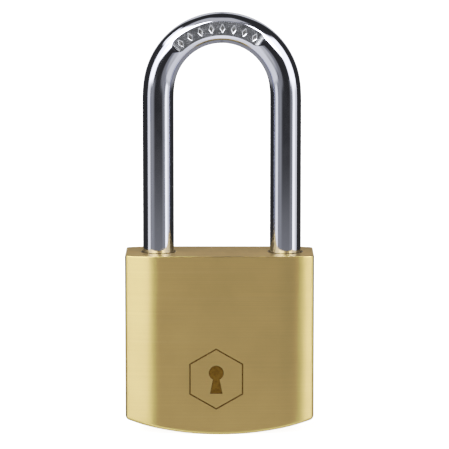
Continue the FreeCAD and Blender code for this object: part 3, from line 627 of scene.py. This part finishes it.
def rod_radius(leg, value, angle):
    """Radius of the rod; angle 0 faces away from the loop and a quarter turn faces the front."""
    radius = ROD
    if leg == "crown":
        return planed(radius, FACET_DEPTH * flat_share(value), angle, math.pi / 2)
    tip = TOE_TIP if leg == "toe" else HEEL_TIP
    if value < tip + LEG_CHAMFER:
        radius = ROD - LEG_CHAMFER + (value - tip)
    if abs(value - BOLT_Z) < NOTCH_HALF:
        radius = planed(radius, NOTCH_DEPTH, angle, math.pi)
    if leg == "heel":
        if abs(value - (BOLT_Z - LIFT)) < NOTCH_HALF:
            radius = min(radius, ROD - NOTCH_DEPTH)
        if abs(value - (HEEL_PIN_Z - LIFT)) < GROOVE_HALF:
            radius = min(radius, ROD - FLAT_DEPTH)
        if HEEL_PIN_Z - LIFT - GROOVE_HALF < value < FLAT_TOP:
            radius = planed(radius, FLAT_DEPTH, angle, 0)
    return radius


def mark_depth(angle_on_crown, across):
    """Depth of the stamped lozenges at a spot on the crown's flat."""
    n = round((MARK_FIRST - angle_on_crown) / MARK_STEP)
    if not 0 <= n < MARK_COUNT:
        return 0.0
    along = (angle_on_crown - MARK_FIRST + n * MARK_STEP) * (LEG_HALF + across)
    inside = 1 - abs(along) / MARK_WIDE - abs(across) / MARK_TALL
    return MARK_DEPTH * min(max(inside * 5, 0), 1)


def around():
    """Angles round the rod, finer where the crown's flat is."""
    fine, coarse, flat_half = math.radians(1.5), math.radians(3.2), math.radians(28)
    angles = []
    angle = 0.0
    while angle < 2 * math.pi - 1e-6:
        angles.append(angle)
        facing = abs(math.remainder(angle - math.pi / 2, 2 * math.pi))
        angle += fine if facing < flat_half else coarse
    return angles


def make_shackle(plating, stamp, press):
    """The swept rod; faces on the flat and in the marks take materials of their own."""
    front = Vector((0, -1, 0))
    front_share = 0.8
    stamp_floor = MARK_DEPTH * 0.55
    flat_limit = ROD - 0.01 * MM
    flat_full = 0.45
    shape = bmesh.new()
    angles = around()
    rings = []
    stamped = []
    pressed = []
    for leg, value, centre, out in rod_stations():
        ring = []
        cut = []
        flat = []
        for angle in angles:
            radius = rod_radius(leg, value, angle)
            spot = centre + out * math.cos(angle) * radius + front * math.sin(angle) * radius
            deep = 0.0
            if leg == "crown" and math.sin(angle) > front_share:
                deep = mark_depth(value, math.cos(angle) * radius)
                spot.y += deep
            ring.append(shape.verts.new(spot))
            cut.append(deep > stamp_floor)
            flat.append(leg == "crown" and radius < flat_limit and flat_share(value) > flat_full)
        rings.append(ring)
        stamped.append(cut)
        pressed.append(flat)
    count = len(angles)
    for k, (this, following) in enumerate(zip(rings, rings[1:])):
        for n in range(count):
            m = (n + 1) % count
            face = shape.faces.new((this[n], this[m], following[m], following[n]))
            if stamped[k][n] and stamped[k + 1][m]:
                face.material_index = 1
            elif pressed[k][n] and pressed[k + 1][m]:
                face.material_index = 2
    shape.faces.new(rings[0][::-1])
    shape.faces.new(rings[-1])
    bmesh.ops.recalc_face_normals(shape, faces=shape.faces)
    rod = new_object("shackle_rod", shape, plating, stamp, press)
    smooth(rod, 35)
    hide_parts("shackle")
    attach(rod, "shackle")


# ---------------------------------------------------------------- CAD nodes that stay


def dress_nodes(brushed):
    """Give every carried-over node the finish of its material slot."""
    brass = ((0.42, 0.29, 0.11), (0.66, 0.48, 0.20))
    steel = ((0.30, 0.30, 0.31), (0.52, 0.52, 0.53))
    zinc = ((0.40, 0.41, 0.42), (0.60, 0.61, 0.61))
    looks = {
        "plug_brass": turned_face("turned_plug", *brass),
        "pin_brass": turned("turned_pins", *brass, 0.2, 0.35, "X"),
        "closing_plug": brushed,
        "cam_steel": turned("plated_cam", *zinc, 0.25, 0.42),
        "bolt_steel": turned("hardened_bolts", *steel, 0.22, 0.38, "X"),
        "pin_steel": turned("ground_pin", *steel, 0.25, 0.4, "X"),
        "spring_wire": turned("spring_wire", *zinc, 0.2, 0.34, "X"),
    }
    slots = {entry["node"]: entry["material_slot"] for entry in frame["record"]["subparts"]}
    for name, node in frame["nodes"].items():
        look = looks.get(slots[name])
        if look is None:
            continue
        node.data.materials.clear()
        node.data.materials.append(look)


# ---------------------------------------------------------------- studio


def make_floor():
    """Plain pale floor that glows to white and stays out of the metal's reflections."""
    glow, radius = 2.6, 12.0
    made, s = material("studio_floor")
    grain = s.noise(s.place((30, 30, 30)), 2.0, 0.5)
    tone = s.mix(s.ramp(grain, 0.3, 0.7), (0.90, 0.90, 0.90, 1), (0.92, 0.92, 0.92, 1))
    surface = s.add("ShaderNodeBsdfPrincipled", {"Base Color": tone, "Roughness": 0.9,
                                                 "Emission Color": tone, "Emission Strength": glow})
    s.add("ShaderNodeOutputMaterial", {"Surface": surface.outputs["BSDF"]})
    shape = bmesh.new()
    bmesh.ops.create_circle(shape, cap_ends=True, radius=radius, segments=96)
    floor = new_object("studio_floor", shape, made)
    floor.visible_glossy = False


# azimuth low, high, softness; elevation low, high, softness; strength
# in degrees, azimuth 0 at the front and positive to the right, None for all round
LIGHTS = [
    # the dim room and the ceiling in front
    (None, None, None, -91, 91, 1, 0.03),
    (-80, 50, 12, 59, 80, 3, 0.62),
    (-12, 24, 6, 46, 60, 4, 0.55),
    # front fill, above the line of the camera
    (-12, 14, 5, 14, 46, 6, 0.24),
    # left softbox
    (-80, -44, 4, 1, 57, 3, 3.3),
    (-108, -50, 4, 35, 53, 3, 3.0),
    (-46, -11, 3, 16, 50, 5, 12.0),
    # right softbox
    (42, 87, 4, 0, 42, 3, 3.3),
    (27.5, 44, 2, 18, 48, 5, 16.0),
    # wall behind
    (152, 181, 8, -4, 50, 5, 0.9),
    (-181, -152, 8, -4, 50, 5, 0.9),
    # strips along the horizon, and the dim near edge of the table
    (-82, -61, 2.5, -14, 0, 2, 1.35),
    (-61, -30, 9, -14, 0, 2, 0.30),
    (-30, 36, 8, -91, -8.1, 1.2, 0.25),
    (34, 58, 8, -14, 0, 2, 0.26),
    (54, 90, 3, -14, 0, 2, 1.1),
    (54, 72, 3, -14, 0, 2, 1.3),
    # table
    (-90, -42, 8, -91, -15, 3, 1.15),
    (-42, 42, 10, -91, -17, 5, 0.42),
    (-42, 42, 10, -91, -32, 6, 0.85),
    (42, 84, 8, -91, -15, 3, 1.10),
    (84, 181, 8, -91, -13, 4, 0.32),
    (-181, -90, 8, -91, -13, 4, 0.32),
]


def light_world():
    """Soft boxes and dark flags as a function of direction."""
    world = bpy.data.worlds.new("studio")
    bpy.context.scene.world = world
    world.use_nodes = True
    s = Shader(world.node_tree)
    way = s.add("ShaderNodeTexCoord").outputs["Generated"]
    split = s.add("ShaderNodeSeparateXYZ", {0: way})
    x, y, z = (split.outputs[name] for name in "XYZ")
    azimuth = s.calc("MULTIPLY", s.calc("ARCTAN2", x, s.calc("MULTIPLY", y, -1.0)), 180 / math.pi)
    height = s.calc("MULTIPLY", s.calc("ARCSINE", z), 180 / math.pi)

    def window(value, low, high, soft):
        """1 between low and high, 0 outside, with soft edges."""
        rise = s.ramp(value, low - soft, low + soft)
        fall = s.ramp(value, high - soft, high + soft, 1.0, 0.0)
        return s.calc("MULTIPLY", rise, fall)

    level = 0.0
    for az_low, az_high, az_soft, el_low, el_high, el_soft, power in LIGHTS:
        patch = window(height, el_low, el_high, el_soft)
        if az_low is not None:
            patch = s.calc("MULTIPLY", patch, window(azimuth, az_low, az_high, az_soft))
        level = s.calc("ADD", level, s.calc("MULTIPLY", patch, power))
    shade = s.add("ShaderNodeBackground", {"Color": (1.0, 0.995, 0.985, 1), "Strength": level})
    s.add("ShaderNodeOutputWorld", {"Surface": shade.outputs[0]})


# film response: input brightness against output, straight for the mid-tones with a soft shoulder
SHOULDER = [(0.0, 0.0), (0.1, 0.1), (0.2, 0.2), (0.3, 0.3), (0.4, 0.395),
            (1.09, 0.69), (1.54, 0.80), (2.2, 0.91), (3.0, 1.0)]


def set_film():
    """Standard view with the film response as its curve."""
    settings = bpy.context.scene.view_settings
    settings.view_transform = "Standard"
    settings.use_curve_mapping = True
    mapping = settings.curve_mapping
    top = SHOULDER[-1][0]
    mapping.white_level = (top, top, top)
    curve = mapping.curves[3]
    curve.points[0].location = (0, 0)
    curve.points[1].location = (1, 1)
    for bright, shown in SHOULDER[1:-1]:
        curve.points.new(bright / top, shown)
    mapping.update()


def place_camera():
    """Slightly from above, straight on, far back with a long lens."""
    pitch = math.radians(8.4)
    view = math.radians(8.4610)
    distance = 646 * MM
    aim_right, aim_above_body = 1.05 * MM, 5.78 * MM
    aim = Vector((aim_right, 0, BODY_TOP + aim_above_body))
    data = bpy.data.cameras.new("camera")
    data.sensor_width = 36
    data.angle = view
    camera = bpy.data.objects.new("camera", data)
    bpy.context.scene.collection.objects.link(camera)
    back = Vector((0, -math.cos(pitch), math.sin(pitch)))
    camera.location = aim + back * distance
    camera.rotation_euler = (-back).to_track_quat("-Z", "Y").to_euler()
    bpy.context.scene.camera = camera


satin = brushed_brass()
make_body(satin, milled_brass_painted_shade(), bored_brass_painted_shade(), engraved_brass())
make_shackle(chrome(), stamped_chrome(), pressed_chrome_painted_shade())
dress_nodes(satin)
make_floor()
light_world()
place_camera()
set_film()
